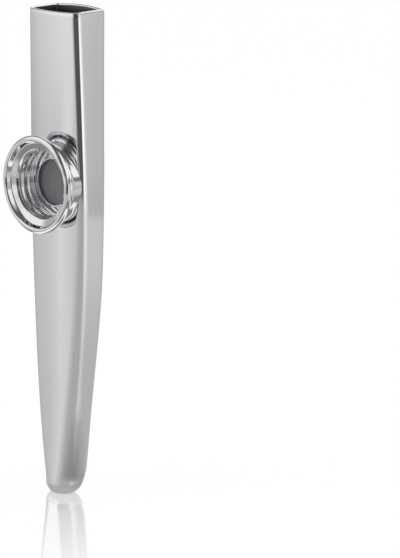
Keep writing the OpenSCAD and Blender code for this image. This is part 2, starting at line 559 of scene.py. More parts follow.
@dataclass(frozen=True)
class DrawnAluminiumWithPaintedShade:
    """The tube's bore: aluminium as the die left it, dull, with draw lines along it. Its darker colour is
    partly that dull finish and partly painted shade of the tube's inside.
    """

    name: str = "drawn_aluminium_with_painted_shade"
    # Partly the dull drawn finish and partly painted shade of the tube's inside
    colour: str = "#8f9092"
    colour_in_lines: str = "#6e6f71"
    roughness: float = 0.35
    line_width_mm: float = 0.3
    line_length_mm: float = 25.0
    line_depth_mm: float = 0.01
    line_detail: float = 4.0

    def make(self) -> bpy.types.Material:
        """Builds the material.

        Returns:
            The material.
        """
        material, tree, place = new_finish(self.name)
        lines = streaks(tree, place, self.line_width_mm, self.line_length_mm, self.line_detail)
        colours = (self.colour_in_lines, self.colour)
        settings = {"Metallic": 1.0, "Roughness": self.roughness}
        finish_by_pattern(tree, lines, colours, self.line_depth_mm, settings)
        return material


@dataclass(frozen=True)
class StampedPolypropylene:
    """The membrane's ring: white polypropylene sheet, stamped out, with a fine matt grain."""

    name: str = "stamped_polypropylene"
    colour: str = "#eeeeec"
    colour_in_grain: str = "#e2e2df"
    roughness: float = 0.45
    ior: float = 1.49
    grain_mm: float = 0.35
    grain_depth_mm: float = 0.008
    grain_detail: float = 3.0

    def make(self) -> bpy.types.Material:
        """Builds the material.

        Returns:
            The material.
        """
        material, tree, place = new_finish(self.name)
        grain = add_node(
            tree,
            "ShaderNodeTexNoise",
            inputs={"Vector": place, "Scale": 1 / (self.grain_mm * MM), "Detail": self.grain_detail},
        )
        colours = (self.colour_in_grain, self.colour)
        settings = {"Roughness": self.roughness, "IOR": self.ior}
        finish_by_pattern(tree, grain.outputs[0], colours, self.grain_depth_mm, settings)
        return material


@dataclass(frozen=True)
class WaxedFilmWithPaintedShade:
    """The membrane's film: thin milky plastic over the dark bore.

    It is nearly opaque here, in the tone that film and bore give together: its dark grey is painted shade
    of the bore behind it.
    """

    name: str = "waxed_film_with_painted_shade"
    # Painted shade: the dark of the shaded bore behind the film, painted into the film's colour
    colour: str = "#838487"
    opacity: float = 0.9
    roughness: float = 0.2
    ior: float = 1.49
    ripple_mm: float = 2.2
    ripple_depth_mm: float = 0.03
    ripple_detail: float = 2.0

    def make(self) -> bpy.types.Material:
        """Builds the material.

        Returns:
            The material.
        """
        material, tree, place = new_finish(self.name)
        ripple = add_node(
            tree,
            "ShaderNodeTexNoise",
            inputs={"Vector": place, "Scale": 1 / (self.ripple_mm * MM), "Detail": self.ripple_detail},
        )
        bump = add_node(
            tree,
            "ShaderNodeBump",
            inputs={"Height": ripple.outputs[0], "Distance": self.ripple_depth_mm * MM},
        )
        shader = add_node(
            tree,
            "ShaderNodeBsdfPrincipled",
            inputs={
                "Base Color": to_linear(self.colour),
                "Roughness": self.roughness,
                "IOR": self.ior,
                "Alpha": self.opacity,
                "Normal": bump.outputs[0],
            },
        )
        add_node(tree, "ShaderNodeOutputMaterial", inputs={"Surface": shader.outputs[0]})
        return material


# The tube


@dataclass(frozen=True)
class Tube:
    """The flattened, tapering tube. Sizes are of its outer surface; front and back from its axis."""

    length: float
    axis_y: float
    wall: float = 0.8
    mouth_w: float = 17.4
    mouth_front: float = 5.8
    mouth_back: float = 5.3
    mouth_front_drop: float = 0.85
    mouth_dip: float = 0.55
    mouth_dip_h: float = 8.0
    mouth_edge_r: float = 0.38
    shoulder_z: float = 45.0
    shoulder_w: float = 20.6
    shoulder_front: float = 4.7
    shoulder_back: float = 5.6
    # The shoulder is rounded where the widths of its two tapers differ by less than this
    shoulder_reach: float = 12.0
    back_low_z: float = 58.0
    back_high_z: float = 75.0
    # The front's spread: its share of the way up to the shoulder, and its power above it
    front_spread: float = 0.5
    front_spread_shape: float = 1.25
    front_corner_r: float = 1.9
    front_corner_z: float = 88.0
    back_corner_r: float = 1.4
    face_crown_r: float = 30.0
    mouth_crown_r: float = 40.0
    crown_fade_h: float = 34.0
    tip_w: float = 9.0
    tip_front: float = 4.55
    tip_back: float = 3.9
    tip_front_corner_r: float = 4.7
    tip_back_corner_r: float = 3.1
    tip_land: float = 0.35
    heel_z: float = 16.0
    curl_h: float = 2.4
    front_curl: float = 1.1
    side_curl: float = 1.9
    back_curl_h: float = 6.2
    back_curl: float = 3.2
    # The power of the curl's curve: 2 would be a quarter of an ellipse
    curl_shape: float = 1.6
    # The share of a side that its two corners may take up
    corner_share: float = 0.96
    face_steps: int = 24
    corner_steps: int = 14
    curl_steps: int = 20
    wall_steps: int = 120
    bore_steps: int = 60
    lip_steps: int = 5

    def width(self, z: float) -> float:
        """Gives the width above the curl.

        Args:
            z: the height.

        Returns:
            The width there.
        """
        taper = mix(self.tip_w, self.shoulder_w, z / self.shoulder_z)
        straight = (z - self.shoulder_z) / (self.length - self.shoulder_z)
        return soft_min(taper, mix(self.shoulder_w, self.mouth_w, straight), self.shoulder_reach)

    def front(self, z: float) -> float:
        """Gives how far the front lies from the axis.

        Args:
            z: the height.

        Returns:
            The distance there.
        """
        if z < self.shoulder_z:
            t = z / (self.front_spread * self.shoulder_z)
            return mix(self.tip_front, self.shoulder_front, blend(t))
        t = (z - self.shoulder_z) / (self.length - self.shoulder_z)
        return mix(self.shoulder_front, self.mouth_front, t**self.front_spread_shape)

    def back(self, z: float) -> float:
        """Gives how far the back lies from the axis.

        Args:
            z: the height.

        Returns:
            The distance there.
        """
        if z < self.back_low_z:
            t = (z - self.heel_z) / (self.back_low_z - self.heel_z)
            return mix(self.tip_back, self.shoulder_back, blend(t))
        t = (z - self.back_high_z) / (self.length - self.back_high_z)
        return mix(self.shoulder_back, self.mouth_back, blend(t))

    def front_r(self, z: float) -> float:
        """Returns the radius of the front corners at height z."""
        return mix(self.tip_front_corner_r, self.front_corner_r, min(1.0, z / self.front_corner_z))

    def back_r(self, z: float) -> float:
        """Returns the radius of the back corners at height z."""
        return mix(self.tip_back_corner_r, self.back_corner_r, z / self.length)

    def crown_r(self, z: float) -> float:
        """Returns the crown radius of the front and back faces at height z."""
        t = blend((self.length - z) / self.crown_fade_h)
        return 1 / mix(1 / self.mouth_crown_r, 1 / self.face_crown_r, t)

    def curl(self, z: float, height: float, depth: float) -> float:
        """Gives how far a curl at the foot draws a wall in.

        Args:
            z: the height.
            height: the curl's height.
            depth: the curl's depth at the foot.

        Returns:
            The distance at that height.
        """
        if z >= height or height <= 0:
            return 0.0
        t = (height - z) / height
        return depth * (1 - max(0.0, 1 - t**self.curl_shape) ** (1 / self.curl_shape))

    def outline(
        self, w: float, front: float, back: float, front_r: float, back_r: float, crown: float
    ) -> list[Vector]:
        """Returns a rounded outline with crowned front and back, as points round Z.

        Args:
            w: the width.
            front: how far the front lies from the axis.
            back: how far the back lies from the axis.
            front_r: the radius of the front corners.
            back_r: the radius of the back corners.
            crown: the radius of the front and back faces.

        Returns:
            The points, from the front's left end on, against the clock from above.
        """
        front_x = w / 2 - front_r
        back_x = w / 2 - back_r
        front_half = math.asin(front_x / (crown - front_r))
        back_half = math.asin(back_x / (crown - back_r))
        quarter = math.pi / 2
        front_crown_y = crown - front
        back_crown_y = back - crown
        front_y = front_crown_y - (crown - front_r) * math.cos(front_half)
        back_y = back_crown_y + (crown - back_r) * math.cos(back_half)
        corner = [k / self.corner_steps for k in range(self.corner_steps + 1)]
        face = [2 * k / self.face_steps - 1 for k in range(self.face_steps + 1)]
        arcs = [
            (0, front_crown_y, crown, [front_half * k - quarter for k in face]),
            (front_x, front_y, front_r, [mix(front_half - quarter, 0, k) for k in corner[1:]]),
            (back_x, back_y, back_r, [mix(0, quarter - back_half, k) for k in corner]),
            (0, back_crown_y, crown, [quarter + back_half * k for k in face[1:]]),
            (-back_x, back_y, back_r, [mix(quarter + back_half, math.pi, k) for k in corner[1:]]),
            (-front_x, front_y, front_r, [mix(math.pi, 3 * quarter - front_half, k) for k in corner[:-1]]),
        ]
        return [
            Vector((x + radius * math.cos(a), y + radius * math.sin(a), 0))
            for x, y, radius, angles in arcs
            for a in angles
        ]

    def drop(self, across: float, deep: float) -> float:
        """Returns how far the mouth's edge lies below its highest point.

        Args:
            across: from -1 at the left side to 1 at the right.
            deep: from -1 at the front to 1 at the back.

        Returns:
            The drop.
        """
        slant = self.mouth_front_drop * ((1 - deep) / 2) ** 2
        return slant + self.mouth_dip * (across * max(0.0, deep)) ** 2

    def ring(self, z: float, inset: float, sunk: float, at_z: float) -> list[Vector]:
        """Returns one ring of the tube.

        Args:
            z: the height whose sizes the ring takes.
            inset: how far the ring lies inside the outer surface.
            sunk: how far the curl is set in.
            at_z: the height at which the ring lies.

        Returns:
            The ring's points.
        """
        side_curl = self.curl(z - sunk, self.curl_h - sunk, self.side_curl - sunk)
        front_curl = self.curl(z - sunk, self.curl_h - sunk, self.front_curl - sunk)
        back_curl = self.curl(z - sunk, self.back_curl_h - sunk, self.back_curl - sunk)
        w = self.width(z) - 2 * (inset + side_curl)
        front = self.front(z) - inset - front_curl
        back = self.back(z) - inset - back_curl
        front_r = self.front_r(z) - min(inset, self.wall)
        back_r = self.back_r(z) - min(inset, self.wall)
        across_fit = self.corner_share * w / 2 / max(front_r, back_r)
        deep_fit = self.corner_share * (front + back) / (front_r + back_r)
        fit = min(1.0, across_fit, deep_fit)
        fade = blend(1 - (self.length - z) / self.mouth_dip_h)
        points = self.outline(w, front, back, fit * front_r, fit * back_r, self.crown_r(z) - inset)
        for p in points:
            deep = (2 * p.y - (back - front)) / (front + back)
            p.z = at_z - fade * self.drop(2 * p.x / w, deep)
            p.y += self.axis_y
        return points

    def rings(self) -> tuple[list[list[Vector]], int, int]:
        """Lays all rings, from the foot up the outside and down the bore.

        Returns:
            The rings, and the numbers of the first one in the bore and the first one past it.
        """
        top = self.length - self.mouth_edge_r
        turns = [math.pi / 2 * k / self.curl_steps for k in range(self.curl_steps)]
        curl = [self.back_curl_h * (1 - math.cos(a)) for a in turns]
        outer = [mix(self.back_curl_h, top, k / self.wall_steps) for k in range(self.wall_steps + 1)]
        lip = [math.pi / 2 * (k + 1) / self.lip_steps for k in range(self.lip_steps)]
        bore = [mix(top, self.back_curl_h, k / self.bore_steps) for k in range(self.bore_steps + 1)]
        bore_curl = [mix(self.wall, self.back_curl_h, 1 - math.cos(a)) for a in reversed(turns)]
        edge = self.mouth_edge_r
        rows = [self.ring(z, 0, 0, z) for z in [*curl, *outer]]
        rolls = [(edge * (1 - math.cos(a)), self.length - edge * (1 - math.sin(a))) for a in lip]
        rows += [self.ring(self.length, inset, 0, z) for inset, z in rolls]
        rows += [self.ring(self.length, self.wall - inset, 0, z) for inset, z in reversed(rolls)]
        first_inside = len(rows)
        rows += [self.ring(z, self.wall, self.wall, z) for z in [*bore, *bore_curl]]
        first_past = len(rows)
        rows += [self.ring(0, self.tip_land, 0, z) for z in (self.wall, 0)]
        return rows, first_inside, first_past

    def front_at(self, x: float, z: float) -> float:
        """Gives how far in front of the axis the outer surface lies.

        Args:
            x: the place across.
            z: the height.

        Returns:
            The distance there.
        """
        r = self.front_r(z)
        crown = self.crown_r(z)
        centre_x = self.width(z) / 2 - r
        centre = crown - self.front(z)
        x = min(abs(x), self.width(z) / 2)
        if x <= centre_x * crown / (crown - r):
            return math.sqrt(crown**2 - x**2) - centre
        reach = math.sqrt((crown - r) ** 2 - centre_x**2)
        return reach - centre + math.sqrt(max(0.0, r**2 - (x - centre_x) ** 2))

    def make(self, seat: Seat, outside: bpy.types.Material, bore: bpy.types.Material) -> bpy.types.Object:
        """Models the tube and cuts the collar's seat into it.

        Args:
            seat: where the collar is let in.
            outside: the finish of the outer surface.
            bore: the finish inside.

        Returns:
            The tube.
        """
        rows, first_inside, first_past = self.rings()
        bm = wrapped_grid(
            len(rows[0]),
            len(rows),
            lambda i, j: rows[j][i],
            is_inside=lambda row: first_inside <= row < first_past,
            closed=True,
        )
        piece = Piece("tube_shell", Body.TUBE, Slot.TUBE_METAL, ("body_tube",))
        shell = piece.make(bm, (outside, bore))
        cut_away(shell, seat.cutter())
        return shell


# The turret


@dataclass(frozen=True)
class Seat:
    """The round seat of the turret: its axis, and the heights of what is stacked in it.

    Heights are counted from the tube's axis, out towards the turret's mouth.
    """

    axis_y: float
    turret_z: float
    rim_h: float = TURRET_H
    collar_r: float = 9.05
    seat_h: float = 3.15
    collar_sheet: float = 0.3
    collar_fit: float = 0.03
    cap_sheet: float = 0.3
    film_t: float = 0.1
    ring_t: float = 0.5
    collar_mouth_depth: float = 2.0
    thread_lead: float = 1.9
    # Depth of the thread's crest below the cup's rim, straight right
    crest_depth: float = 4.15
    # How blunt the crest is: 0 is an edge, 1 about as round as the groove beside it
    crest_bluntness: float = 0.25

    def place(self, bm: bmesh.types.BMesh) -> bmesh.types.BMesh:
        """Lays a piece modelled round Z onto the turret's axis.

        Args:
            bm: the piece, moved in place.

        Returns:
            The same piece.
        """
        mouth_to_front = Matrix.Rotation(math.radians(90), 4, "X")
        onto = Matrix.Translation((0, self.axis_y, self.turret_z)) @ mouth_to_front
        bmesh.ops.transform(bm, matrix=onto, verts=bm.verts)
        return bm

    def cutter(self) -> bpy.types.Object:
        """Makes a cylinder that cuts the seat out of the tube.

        Returns:
            The cylinder, in metres.
        """
        bm = bmesh.new()
        depth = self.rim_h - self.collar_back_h
        radius = self.collar_r + self.collar_fit
        bmesh.ops.create_cone(
            bm, cap_ends=True, segments=TURN_STEPS, radius1=radius, radius2=radius, depth=depth
        )
        bmesh.ops.translate(bm, vec=(0, 0, self.collar_back_h + depth / 2), verts=bm.verts)
        return mesh_object("seat_cutter", self.place(bm))

    @property
    def collar_back_h(self) -> float:
        """Height of the collar's back, where the seat is cut to."""
        return self.seat_h - self.collar_sheet

    @property
    def collar_mouth_h(self) -> float:
        """Height of the collar's mouth."""
        return self.rim_h - self.collar_mouth_depth

    def thread_wave(self, point: Vector) -> float:
        """Gives the form of the right-handed thread.

        Args:
            point: a place round the turret's axis.

        Returns:
            1 on the narrow crest and 0 in the broad groove.
        """
        turns = math.atan2(point.y, point.x) / math.tau
        crest_h = self.rim_h - self.crest_depth
        away = math.sin(math.pi * ((point.z - crest_h) / self.thread_lead - turns))
        top = math.hypot(1, self.crest_bluntness)
        return (top - math.hypot(away, self.crest_bluntness)) / (top - self.crest_bluntness)


@dataclass(frozen=True)
class Collar:
    """The collar let into the tube: a sheet cup with a rolled thread and a beaded mouth."""

    seat: Seat
    hole_r: float = 6.35
    bead: float = 0.45
    # Depth below the mouth at which the bead starts, counted in thicknesses of the sheet
    bead_sheets: float = 2.2
    bend_r: float = 0.45
    ridge: float = 0.22
    # Depth below the mouth to which the thread reaches, counted in leads
    thread_leads: float = 1.7
    thread_runout: float = 0.5

    def make(self, finish: bpy.types.Material) -> bpy.types.Object:
        """Models the collar.

        Args:
            finish: its material.

        Returns:
            The collar.
        """
        seat = self.seat
        mid_r = seat.collar_r - seat.collar_sheet / 2
        floor_h = seat.seat_h - seat.collar_sheet / 2
        mouth_h = seat.collar_mouth_h
        thread_top = mouth_h - seat.collar_sheet - self.thread_runout
        thread_foot = mouth_h - self.thread_leads * seat.thread_lead
        corners = (
            Corner(self.hole_r, floor_h),
            Corner(mid_r, floor_h, self.bend_r),
            Corner(mid_r, mouth_h - self.bead_sheets * seat.collar_sheet, self.bend_r),
            Corner(mid_r + self.bead, mouth_h - seat.collar_sheet, self.bend_r),
            Corner(mid_r + self.bead, mouth_h),
        )

        def onto_thread(point: Vector) -> Vector:
            """Rolls the thread's ridge out of the wall.

            Args:
                point: a place on the smooth wall.

            Returns:
                Its place on the thread.
            """
            fade = blend((point.z - thread_foot) / self.thread_runout)
            fade *= blend((thread_top - point.z) / self.thread_runout)
            return moved_out(point, self.ridge * seat.thread_wave(point) * fade)

        bm = spun_section(corners, WALL_STEP, shape=onto_thread)
        thicken(bm, seat.collar_sheet, SHEET_EDGE_ROUND)
        piece = Piece("collar", Body.TUBE, Slot.TURRET_METAL, ("turret_collar",))
        return piece.make(seat.place(bm), (finish,))


@dataclass(frozen=True)
class SolderFillet:
    """The fillet of solder where the collar's wall meets the front of the tube."""

    seat: Seat
    tube: Tube
    radius: float = 0.9
    root: float = 0.12
    fade_w: float = 2.0
    end_x: float = 8.6
    arc_steps: int = 10

    def section(self, turn: float) -> list[Vector]:
        """Draws the fillet's section at one place round the turret.

        Args:
            turn: the angle round the turret's axis.

        Returns:
            The section's points, a closed loop.
        """
        wall_r = self.seat.collar_r
        across = math.cos(turn)
        up = math.sin(turn)
        size = self.radius * blend((self.end_x - wall_r * abs(across)) / self.fade_w)
        points = []
        for k in range(self.arc_steps + 1):
            a = math.pi / 2 * k / self.arc_steps
            r = wall_r + size * (1 - math.cos(a))
            h = self.tube.front_at(r * across, self.seat.turret_z + r * up)
            points.append((r, h + size * (1 - math.sin(a))))
        last_r, last_h = points[-1]
        first_r, first_h = points[0]
        points.append((last_r + self.root * size, last_h - self.root))
        points.append((first_r - self.root, last_h - self.root))
        points.append((first_r - self.root, first_h))
        return [Vector((r * across, r * up, h)) for r, h in points]

    def make(self, finish: bpy.types.Material) -> bpy.types.Object:
        """Models the fillet.

        Args:
            finish: its material.

        Returns:
            The fillet.
        """
        sections = [self.section(math.tau * k / TURN_STEPS) for k in range(TURN_STEPS)]
        bm = wrapped_grid(len(sections[0]), TURN_STEPS, lambda i, j: sections[j][i], closed=True)
        piece = Piece("solder_fillet", Body.TUBE, Slot.TURRET_METAL)
        return piece.make(self.seat.place(bm), (finish,))


@dataclass(frozen=True)
class Membrane:
    """The membrane: a stiff ring on a slack disc of thin film."""

    seat: Seat
    outer_r: float
    clear_r: float = 6.35
    edge_r: float = 0.12
    film_sheet: float = 0.03
    film_edge_r: float = 0.0075
    film_step: float = 0.4
    slack: float = 0.03
    ripples: int = 7
    # The share of the slack that ripples; the rest sags
    ripple_share: float = 0.6

    def make_ring(self, finish: bpy.types.Material) -> bpy.types.Object:
        """Models the membrane's ring.

        Args:
            finish: its material.

        Returns:
            The ring.
        """
        low = self.seat.seat_h + self.seat.film_t
        high = low + self.seat.ring_t
        inner, outer = self.clear_r, self.outer_r
        section = ((inner, low), (outer, low), (outer, high), (inner, high))
        corners = [Corner(r, h, self.edge_r) for r, h in section]
        bm = spun_section(corners, self.seat.ring_t, closed=True)
        piece = Piece("membrane_rim", Body.MEMBRANE, Slot.RING_PLASTIC, ("membrane_ring",))
        return piece.make(self.seat.place(bm), (finish,))

    def make_film(self, finish: bpy.types.Material) -> bpy.types.Object:
        """Models the membrane's film.

        Args:
            finish: its material.

        Returns:
            The film.
        """
        middle = self.seat.seat_h + self.seat.film_t / 2

        def slacken(point: Vector) -> Vector:
            """Lets the film ripple and sag a little inside its ring.

            Args:
                point: a place on the taut film.

            Returns:
                Its place on the slack film.
            """
            radius = math.hypot(point.x, point.y)
            inside = blend(1 - radius / self.clear_r)
            turn = math.atan2(point.y, point.x)
            ripple = math.sin(self.ripples * turn) * math.sin(math.pi * min(1.0, radius / self.clear_r))
            sag = (1 - self.ripple_share) * inside
            return point + Vector((0, 0, self.slack * (self.ripple_share * ripple - sag)))

        corners = (Corner(0, middle), Corner(self.outer_r - self.edge_r, middle))
        bm = spun_section(corners, self.film_step, shape=slacken)
        thicken(bm, self.film_sheet, self.film_edge_r)
        piece = Piece("membrane_sheet", Body.MEMBRANE, Slot.FILM, ("membrane_film",))
        return piece.make(self.seat.place(bm), (finish,))


@dataclass(frozen=True)
class Cap:
    """The screw cap: a flared sheet cup with a turned-down rim and a rolled thread."""

    seat: Seat
    rim_r: float
    hole_r: float = 5.6
    lip_h: float = 0.35
    thread_play: float = 0.05
    floor_play: float = 0.02
    groove_depth: float = 0.36
    shelf_depth: float = 1.35
    shelf_rise: float = 0.65
    shelf_bend_r: float = 0.5
    flare_foot_r: float = 10.05
    flare_top_r: float = 10.73
    flare_bend_r: float = 0.45
    rim_fall: float = 0.45
    # The rim stays this far inside the frame's box
    rim_play: float = 0.01
    rim_roll_r: float = 0.45
    rim_curl_h: float = 1.4
    rim_curl_w: float = 0.7
    rim_curl_r: float = 0.4
    bend_r: float = 0.45
    thread_runout: float = 0.4

    def make(self, finish: bpy.types.Material) -> bpy.types.Object:
        """Models the cap.

        Args:
            finish: its material.

        Returns:
            The cap.
        """
        seat = self.seat
        sheet = seat.cap_sheet
        mid_r = seat.collar_r - seat.collar_sheet - self.thread_play - sheet / 2
        wall_r = mid_r - self.groove_depth / 2
        floor_h = seat.seat_h + seat.film_t + seat.ring_t + self.floor_play + sheet / 2
        edge_r = self.rim_r - self.rim_play - sheet / 2
        edge_h = seat.rim_h - sheet / 2
        shelf_h = edge_h - self.shelf_depth
        wall_h = shelf_h - self.shelf_rise
        lip_r = self.hole_r + sheet / 2
        corners = (
            Corner(lip_r, floor_h + sheet / 2 + self.lip_h),
            Corner(lip_r, floor_h, sheet),
            Corner(wall_r, floor_h, self.bend_r),
            Corner(wall_r, wall_h, self.shelf_bend_r),
            Corner(self.flare_foot_r, shelf_h, self.shelf_bend_r),
            Corner(self.flare_top_r, edge_h, self.flare_bend_r),
            Corner(edge_r, edge_h - self.rim_fall, self.rim_roll_r),
            Corner(edge_r, edge_h - self.rim_curl_h, self.rim_curl_r),
            Corner(edge_r - self.rim_curl_w, edge_h - self.rim_curl_h),
        )

        def onto_thread(point: Vector) -> Vector:
            """Rolls the thread into the wall, as far out as in.

            Args:
                point: a place on the smooth sheet.

            Returns:
                Its place on the thread.
            """
            fade = blend((point.z - floor_h - self.thread_runout) / self.thread_runout)
            fade *= blend((wall_h - point.z) / self.thread_runout)
            if abs(math.hypot(point.x, point.y) - wall_r) > sheet:
                return point
            return moved_out(point, self.groove_depth * (seat.thread_wave(point) - 0.5) * fade)

        bm = spun_section(corners, WALL_STEP, shape=onto_thread)
        thicken(bm, sheet, SHEET_EDGE_ROUND)
        piece = Piece("screw_cap", Body.CAP, Slot.TURRET_METAL, ("turret_cap",))
        return piece.make(seat.place(bm), (finish,))


# The studio


@dataclass(frozen=True)
class Tone:
    """How bright the studio is in one direction round the object.

    Turn 0 is straight in front of the turret, and 90 is to its right, at +X.
    """

    turn_deg: float
    level: float


def tone_list(*pairs: tuple[float, float]) -> tuple[Tone, ...]:
    """Returns the tones that pairs of a turn and a level give."""
    return tuple(Tone(turn_deg, level) for turn_deg, level in pairs)


def set_tones(ramp: bpy.types.Node, tones: Sequence[Tone]) -> None:
    """Fills a colour ramp that runs once round the object.

    Args:
        ramp: the ramp's node.
        tones: the tones, from -180 degrees to 180.
    """
    stops = ramp.color_ramp.elements
    while len(stops) > 1:
        stops.remove(stops[-1])
    for index, tone in enumerate(tones):
        place = (tone.turn_deg + 180) / 360
        stop = stops[0] if index == 0 else stops.new(place)
        stop.position = place
        stop.color = grey(tone.level)


@dataclass(frozen=True)
class PhotoCamera:
    """The photograph's camera, aimed at a point on the tube's axis."""

    aim: Vector
    turn_deg: float = 48.372
    rise_deg: float = 12.333
    distance_mm: float = 594.7
    focal_px: float = 2451.0
    aim_column_px: float = 66.5
    aim_row_px: float = 253.8
    roll_deg: float = 0.255
    sensor_mm: float = 36.0
    clip_start_m: float = 0.01

    def make(self) -> bpy.types.Object:
        """Sets up the scene's camera.

        Returns:
            The camera.
        """
        turn = math.radians(self.turn_deg)
        rise = math.radians(self.rise_deg)
        back = Vector((math.sin(turn) * math.cos(rise), -math.cos(turn) * math.cos(rise), math.sin(rise)))
        right = Vector((math.cos(turn), math.sin(turn), 0))
        straight = Matrix((right, back.cross(right), back)).transposed()
        pan = math.atan((self.aim_column_px - IMAGE_WIDTH / 2) / self.focal_px)
        rows_up = IMAGE_HEIGHT / 2 - self.aim_row_px
        tilt = math.atan(rows_up / self.focal_px * math.cos(pan))
        turned = straight @ Matrix.Rotation(pan, 3, "Y") @ Matrix.Rotation(-tilt, 3, "X")
        rolled = turned @ Matrix.Rotation(math.radians(self.roll_deg), 3, "Z")
        data = bpy.data.cameras.new("photo_camera")
        data.sensor_width = self.sensor_mm
        data.lens = self.focal_px * self.sensor_mm / IMAGE_HEIGHT
        data.clip_start = self.clip_start_m
        camera = add_object("photo_camera", data)
        place = (self.aim + back * self.distance_mm) * MM
        camera.matrix_world = Matrix.Translation(place) @ rolled.to_4x4()
        bpy.context.scene.camera = camera
        return camera


@dataclass(frozen=True)
class Studio:
    """A white table in a soft white room, with the dark of the room in front of the object.

    Polished metal shows the room, so the room's tones are what gives it its form. They are
    seen in reflections only: the camera sees plain white, and soft light falls from all round.
    """

    # How bright the soft light is that falls from all round
    soft_level: float = 0.75
    # The table's top that reflections see, and the floor that the camera sees, corner to corner
    table_r_mm: float = 340.0
    floor_w_mm: float = 6000.0
    # The share that the floor mirrors at the foot, and the distance at which it mirrors nothing
    mirror_share: float = 0.5
    mirror_fade_mm: float = 72.0
    mirror_roughness: float = 0.03
    # The share of the floor's white that a shadow can take away
    shadow_share: float = 0.1
    # The floor as it lights the object from below
    floor_colour: str = "#e6e6e6"
    lamp_w: float = 0.6
    lamp_size_m: float = 0.5
    lamp_place_m: tuple[float, float, float] = (-0.3, -0.5, 0.55)
    # Rises, as sines, between which the room's tones pass from one list to the next
    horizon_rises: tuple[float, float] = (-0.19, -0.155)
    edge_rises: tuple[float, float] = (-0.12, -0.06)
    above_rises: tuple[float, float] = (0.03, 0.1)
    ceiling_rises: tuple[float, float] = (0.215, 0.27)
    zenith_rises: tuple[float, float] = (0.72, 0.97)
    # Distances from the object between which the table's tones pass from near to far
    table_passage_mm: tuple[float, float] = (90.0, 230.0)
    # Distances between which the shade of the foot on the table ends, and its tone
    foot_shade_mm: tuple[float, float] = (5.0, 14.0)
    foot_shade: float = 0.45
    # Looked down on, the table is white in a ring, and grey within and beyond it
    ring_inner_mm: tuple[float, float] = (45.0, 60.0)
    ring_outer_mm: tuple[float, float] = (80.0, 92.0)
    ring_grey: float = 0.25
    # How far edge-on it is seen where that passes into the tones of a low look
    gloss_passage: tuple[float, float] = (0.48, 0.58)
    table_drop_mm: float = 0.3
    zenith: tuple[Tone, ...] = tone_list((-180, 0.12), (180, 0.12))
    ceiling: tuple[Tone, ...] = tone_list(
        (-180, 1.0), (-122, 1.0), (-112, 0.15), (-90, 0.1), (-60, 0.9), (-22, 0.9), (-6, 0.08),
        (58, 0.08), (72, 0.9), (180, 1.0),
    )
    above: tuple[Tone, ...] = tone_list(
        (-180, 1.0), (-123, 1.0), (-112, 0.3), (-78, 0.4), (-55, 0.48), (-40, 0.52), (-27, 0.85),
        (-12, 0.75), (0, 0.2), (14, 0.16), (62, 0.22), (82, 0.6), (94, 0.5), (110, 0.28), (135, 0.2),
        (160, 0.4), (172, 1.0), (180, 1.0),
    )
    edge: tuple[Tone, ...] = tone_list(
        (-180, 0.46), (-105, 0.3), (-70, 0.7), (-48, 0.95), (-30, 0.95), (-4, 0.8), (10, 0.05),
        (66, 0.05), (84, 0.9), (126, 0.6), (180, 0.46),
    )
    horizon: tuple[Tone, ...] = tone_list(
        (-180, 0.46), (-131, 0.3), (-110, 0.33), (-95, 0.42), (-82, 0.5), (-68, 0.567), (-61, 0.64),
        (-51, 0.69), (-45, 0.71), (-39, 0.76), (-33, 0.785), (-27, 0.76), (-22, 0.69), (-12, 0.52),
        (-5, 0.44), (0, 0.3), (7, 0.1), (70, 0.08), (78, 0.9), (84, 1.2), (97, 1.05), (113, 0.78),
        (126, 0.6), (132, 0.515), (180, 0.46),
    )
    below: tuple[Tone, ...] = tone_list(
        (-180, 0.46), (-131, 0.3), (-110, 0.33), (-95, 0.38), (-82, 0.42), (-74, 0.48), (-66, 0.545),
        (-55, 0.575), (-40, 0.595), (-36, 0.62), (-31, 0.715), (-24, 0.745), (-21, 0.63), (-12, 0.5),
        (-3, 0.42), (7, 0.1), (70, 0.08), (78, 0.8), (84, 1.1), (97, 0.95), (113, 0.72), (126, 0.55),
        (132, 0.465), (180, 0.46),
    )
    near_table: tuple[Tone, ...] = tone_list(
        (-180, 0.48), (-131, 0.46), (-95, 0.49), (-65, 0.535), (-50, 0.575), (-42, 0.64), (-35, 0.69),
        (-24, 0.68), (-15, 0.65), (-6, 0.59), (6, 0.53), (18, 0.46), (32, 0.43), (66, 0.42), (72, 0.48),
        (79, 0.585), (85, 0.66), (92, 0.585), (98, 0.545), (105, 0.52), (111, 0.49), (118, 0.48),
        (180, 0.48),
    )
    far_table: tuple[Tone, ...] = tone_list(
        (-180, 0.5), (-131, 0.42), (-95, 0.46), (-75, 0.55), (-62, 0.585), (-48, 0.63), (-40, 0.7),
        (-34, 0.72), (-29, 0.69), (-20, 0.61), (-10, 0.57), (0, 0.54), (12, 0.49), (25, 0.445),
        (42, 0.41), (62, 0.41), (72, 0.5), (80, 0.7), (88, 0.86), (96, 0.84), (104, 0.72), (114, 0.63),
        (132, 0.6), (180, 0.5),
    )

    def turn_ramp(
        self, tree: bpy.types.NodeTree, place: bpy.types.NodeSocket, tones: Sequence[Tone]
    ) -> bpy.types.NodeSocket:
        """Adds a tone that depends on the turn of a direction or place round the Z axis.

        Args:
            tree: the node tree.
            place: the output that holds the direction or place.
            tones: the tones, from -180 degrees to 180.

        Returns:
            The ramp's colour output.
        """
        split = add_node(tree, "ShaderNodeSeparateXYZ", inputs={0: place})
        ahead = add_node(
            tree, "ShaderNodeMath", {"operation": "MULTIPLY"}, {0: split.outputs[1], 1: -1.0}
        )
        turn = add_node(
            tree, "ShaderNodeMath", {"operation": "ARCTAN2"}, {0: split.outputs[0], 1: ahead.outputs[0]}
        )
        share = add_node(
            tree,
            "ShaderNodeMapRange",
            inputs={"Value": turn.outputs[0], "From Min": -math.pi, "From Max": math.pi},
        )
        ramp = add_node(tree, "ShaderNodeValToRGB", inputs={0: share.outputs[0]})
        set_tones(ramp, tones)
        return ramp.outputs[0]

